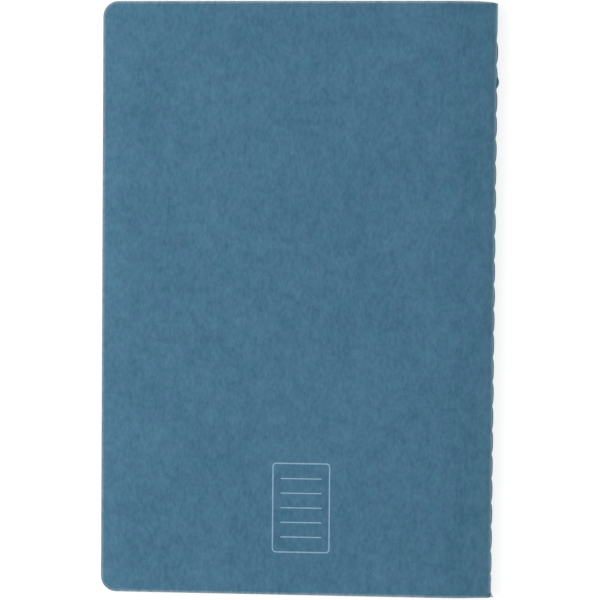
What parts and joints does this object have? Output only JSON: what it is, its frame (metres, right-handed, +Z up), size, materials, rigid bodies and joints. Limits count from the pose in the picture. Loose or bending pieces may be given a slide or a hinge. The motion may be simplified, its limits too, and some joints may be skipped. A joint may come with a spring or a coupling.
{
  "type": "softcover notebook",
  "caption": "Slim softcover notebook sewn through the fold, with round fore-edge corners, a card cover and leaves that each turn about the thread line.",
  "frame": {"origin": "middle of the front cover's outer face, on the table the closed notebook lies on", "axes": "+X towards the sewn fold, +Y towards the head, +Z up through the back cover"},
  "size_m": [0.1394, 0.21, 0.0062],
  "materials": {
    "cover_card": "matt recycled card",
    "page_paper": "uncoated",
    "sewing_thread": "waxed twisted thread"
  },
  "bodies": {
    "front_cover": {"front_cover": "cover_card", "needle_thread": "sewing_thread", "bobbin_thread": "sewing_thread"},
    "sheet_01_front_leaf": {"sheet_01_front_leaf": "page_paper"},
    "sheet_02_front_leaf": {"sheet_02_front_leaf": "page_paper"},
    "sheet_03_front_leaf": {"sheet_03_front_leaf": "page_paper"},
    "sheet_04_front_leaf": {"sheet_04_front_leaf": "page_paper"},
    "sheet_05_front_leaf": {"sheet_05_front_leaf": "page_paper"},
    "sheet_06_front_leaf": {"sheet_06_front_leaf": "page_paper"},
    "sheet_07_front_leaf": {"sheet_07_front_leaf": "page_paper"},
    "sheet_08_front_leaf": {"sheet_08_front_leaf": "page_paper"},
    "sheet_09_front_leaf": {"sheet_09_front_leaf": "page_paper"},
    "sheet_10_front_leaf": {"sheet_10_front_leaf": "page_paper"},
    "sheet_11_front_leaf": {"sheet_11_front_leaf": "page_paper"},
    "sheet_12_front_leaf": {"sheet_12_front_leaf": "page_paper"},
    "sheet_13_front_leaf": {"sheet_13_front_leaf": "page_paper"},
    "sheet_14_front_leaf": {"sheet_14_front_leaf": "page_paper"},
    "sheet_15_front_leaf": {"sheet_15_front_leaf": "page_paper"},
    "sheet_16_front_leaf": {"sheet_16_front_leaf": "page_paper"},
    "sheet_16_back_leaf": {"sheet_16_back_leaf": "page_paper"},
    "sheet_15_back_leaf": {"sheet_15_back_leaf": "page_paper"},
    "sheet_14_back_leaf": {"sheet_14_back_leaf": "page_paper"},
    "sheet_13_back_leaf": {"sheet_13_back_leaf": "page_paper"},
    "sheet_12_back_leaf": {"sheet_12_back_leaf": "page_paper"},
    "sheet_11_back_leaf": {"sheet_11_back_leaf": "page_paper"},
    "sheet_10_back_leaf": {"sheet_10_back_leaf": "page_paper"},
    "sheet_09_back_leaf": {"sheet_09_back_leaf": "page_paper"},
    "sheet_08_back_leaf": {"sheet_08_back_leaf": "page_paper"},
    "sheet_07_back_leaf": {"sheet_07_back_leaf": "page_paper"},
    "sheet_06_back_leaf": {"sheet_06_back_leaf": "page_paper"},
    "sheet_05_back_leaf": {"sheet_05_back_leaf": "page_paper"},
    "sheet_04_back_leaf": {"sheet_04_back_leaf": "page_paper"},
    "sheet_03_back_leaf": {"sheet_03_back_leaf": "page_paper"},
    "sheet_02_back_leaf": {"sheet_02_back_leaf": "page_paper"},
    "sheet_01_back_leaf": {"sheet_01_back_leaf": "page_paper"},
    "back_cover": {"back_cover": "cover_card"}
  },
  "joints": [
    {"name": "open_front_cover", "type": "hinge", "parent": "front_cover", "child": "sheet_01_front_leaf", "pos_m": [0.06957, 0, 0.00312], "axis": [0, 1, 0], "range_deg": [0, 180]},
    {"name": "open_at_pages_02_03", "type": "hinge", "parent": "sheet_01_front_leaf", "child": "sheet_02_front_leaf", "pos_m": [0.06957, 0, 0.00312], "axis": [0, 1, 0], "range_deg": [0, 180]},
    {"name": "open_at_pages_04_05", "type": "hinge", "parent": "sheet_02_front_leaf", "child": "sheet_03_front_leaf", "pos_m": [0.06957, 0, 0.00312], "axis": [0, 1, 0], "range_deg": [0, 180]},
    {"name": "open_at_pages_06_07", "type": "hinge", "parent": "sheet_03_front_leaf", "child": "sheet_04_front_leaf", "pos_m": [0.06957, 0, 0.00312], "axis": [0, 1, 0], "range_deg": [0, 180]},
    {"name": "open_at_pages_08_09", "type": "hinge", "parent": "sheet_04_front_leaf", "child": "sheet_05_front_leaf", "pos_m": [0.06957, 0, 0.00312], "axis": [0, 1, 0], "range_deg": [0, 180]},
    {"name": "open_at_pages_10_11", "type": "hinge", "parent": "sheet_05_front_leaf", "child": "sheet_06_front_leaf", "pos_m": [0.06957, 0, 0.00312], "axis": [0, 1, 0], "range_deg": [0, 180]},
    {"name": "open_at_pages_12_13", "type": "hinge", "parent": "sheet_06_front_leaf", "child": "sheet_07_front_leaf", "pos_m": [0.06957, 0, 0.00312], "axis": [0, 1, 0], "range_deg": [0, 180]},
    {"name": "open_at_pages_14_15", "type": "hinge", "parent": "sheet_07_front_leaf", "child": "sheet_08_front_leaf", "pos_m": [0.06957, 0, 0.00312], "axis": [0, 1, 0], "range_deg": [0, 180]},
    {"name": "open_at_pages_16_17", "type": "hinge", "parent": "sheet_08_front_leaf", "child": "sheet_09_front_leaf", "pos_m": [0.06957, 0, 0.00312], "axis": [0, 1, 0], "range_deg": [0, 180]},
    {"name": "open_at_pages_18_19", "type": "hinge", "parent": "sheet_09_front_leaf", "child": "sheet_10_front_leaf", "pos_m": [0.06957, 0, 0.00312], "axis": [0, 1, 0], "range_deg": [0, 180]},
    {"name": "open_at_pages_20_21", "type": "hinge", "parent": "sheet_10_front_leaf", "child": "sheet_11_front_leaf", "pos_m": [0.06957, 0, 0.00312], "axis": [0, 1, 0], "range_deg": [0, 180]},
    {"name": "open_at_pages_22_23", "type": "hinge", "parent": "sheet_11_front_leaf", "child": "sheet_12_front_leaf", "pos_m": [0.06957, 0, 0.00312], "axis": [0, 1, 0], "range_deg": [0, 180]},
    {"name": "open_at_pages_24_25", "type": "hinge", "parent": "sheet_12_front_leaf", "child": "sheet_13_front_leaf", "pos_m": [0.06957, 0, 0.00312], "axis": [0, 1, 0], "range_deg": [0, 180]},
    {"name": "open_at_pages_26_27", "type": "hinge", "parent": "sheet_13_front_leaf", "child": "sheet_14_front_leaf", "pos_m": [0.06957, 0, 0.00312], "axis": [0, 1, 0], "range_deg": [0, 180]},
    {"name": "open_at_pages_28_29", "type": "hinge", "parent": "sheet_14_front_leaf", "child": "sheet_15_front_leaf", "pos_m": [0.06957, 0, 0.00312], "axis": [0, 1, 0], "range_deg": [0, 180]},
    {"name": "open_at_pages_30_31", "type": "hinge", "parent": "sheet_15_front_leaf", "child": "sheet_16_front_leaf", "pos_m": [0.06957, 0, 0.00312], "axis": [0, 1, 0], "range_deg": [0, 180]},
    {"name": "open_at_middle", "type": "hinge", "parent": "sheet_16_front_leaf", "child": "sheet_16_back_leaf", "pos_m": [0.06957, 0, 0.00312], "axis": [0, 1, 0], "range_deg": [0, 180]},
    {"name": "open_at_pages_34_35", "type": "hinge", "parent": "sheet_16_back_leaf", "child": "sheet_15_back_leaf", "pos_m": [0.06957, 0, 0.00312], "axis": [0, 1, 0], "range_deg": [0, 180]},
    {"name": "open_at_pages_36_37", "type": "hinge", "parent": "sheet_15_back_leaf", "child": "sheet_14_back_leaf", "pos_m": [0.06957, 0, 0.00312], "axis": [0, 1, 0], "range_deg": [0, 180]},
    {"name": "open_at_pages_38_39", "type": "hinge", "parent": "sheet_14_back_leaf", "child": "sheet_13_back_leaf", "pos_m": [0.06957, 0, 0.00312], "axis": [0, 1, 0], "range_deg": [0, 180]},
    {"name": "open_at_pages_40_41", "type": "hinge", "parent": "sheet_13_back_leaf", "child": "sheet_12_back_leaf", "pos_m": [0.06957, 0, 0.00312], "axis": [0, 1, 0], "range_deg": [0, 180]},
    {"name": "open_at_pages_42_43", "type": "hinge", "parent": "sheet_12_back_leaf", "child": "sheet_11_back_leaf", "pos_m": [0.06957, 0, 0.00312], "axis": [0, 1, 0], "range_deg": [0, 180]},
    {"name": "open_at_pages_44_45", "type": "hinge", "parent": "sheet_11_back_leaf", "child": "sheet_10_back_leaf", "pos_m": [0.06957, 0, 0.00312], "axis": [0, 1, 0], "range_deg": [0, 180]},
    {"name": "open_at_pages_46_47", "type": "hinge", "parent": "sheet_10_back_leaf", "child": "sheet_09_back_leaf", "pos_m": [0.06957, 0, 0.00312], "axis": [0, 1, 0], "range_deg": [0, 180]},
    {"name": "open_at_pages_48_49", "type": "hinge", "parent": "sheet_09_back_leaf", "child": "sheet_08_back_leaf", "pos_m": [0.06957, 0, 0.00312], "axis": [0, 1, 0], "range_deg": [0, 180]},
    {"name": "open_at_pages_50_51", "type": "hinge", "parent": "sheet_08_back_leaf", "child": "sheet_07_back_leaf", "pos_m": [0.06957, 0, 0.00312], "axis": [0, 1, 0], "range_deg": [0, 180]},
    {"name": "open_at_pages_52_53", "type": "hinge", "parent": "sheet_07_back_leaf", "child": "sheet_06_back_leaf", "pos_m": [0.06957, 0, 0.00312], "axis": [0, 1, 0], "range_deg": [0, 180]},
    {"name": "open_at_pages_54_55", "type": "hinge", "parent": "sheet_06_back_leaf", "child": "sheet_05_back_leaf", "pos_m": [0.06957, 0, 0.00312], "axis": [0, 1, 0], "range_deg": [0, 180]},
    {"name": "open_at_pages_56_57", "type": "hinge", "parent": "sheet_05_back_leaf", "child": "sheet_04_back_leaf", "pos_m": [0.06957, 0, 0.00312], "axis": [0, 1, 0], "range_deg": [0, 180]},
    {"name": "open_at_pages_58_59", "type": "hinge", "parent": "sheet_04_back_leaf", "child": "sheet_03_back_leaf", "pos_m": [0.06957, 0, 0.00312], "axis": [0, 1, 0], "range_deg": [0, 180]},
    {"name": "open_at_pages_60_61", "type": "hinge", "parent": "sheet_03_back_leaf", "child": "sheet_02_back_leaf", "pos_m": [0.06957, 0, 0.00312], "axis": [0, 1, 0], "range_deg": [0, 180]},
    {"name": "open_at_pages_62_63", "type": "hinge", "parent": "sheet_02_back_leaf", "child": "sheet_01_back_leaf", "pos_m": [0.06957, 0, 0.00312], "axis": [0, 1, 0], "range_deg": [0, 180]},
    {"name": "open_back_cover", "type": "hinge", "parent": "sheet_01_back_leaf", "child": "back_cover", "pos_m": [0.06957, 0, 0.00312], "axis": [0, 1, 0], "range_deg": [0, 180]}
  ]
}
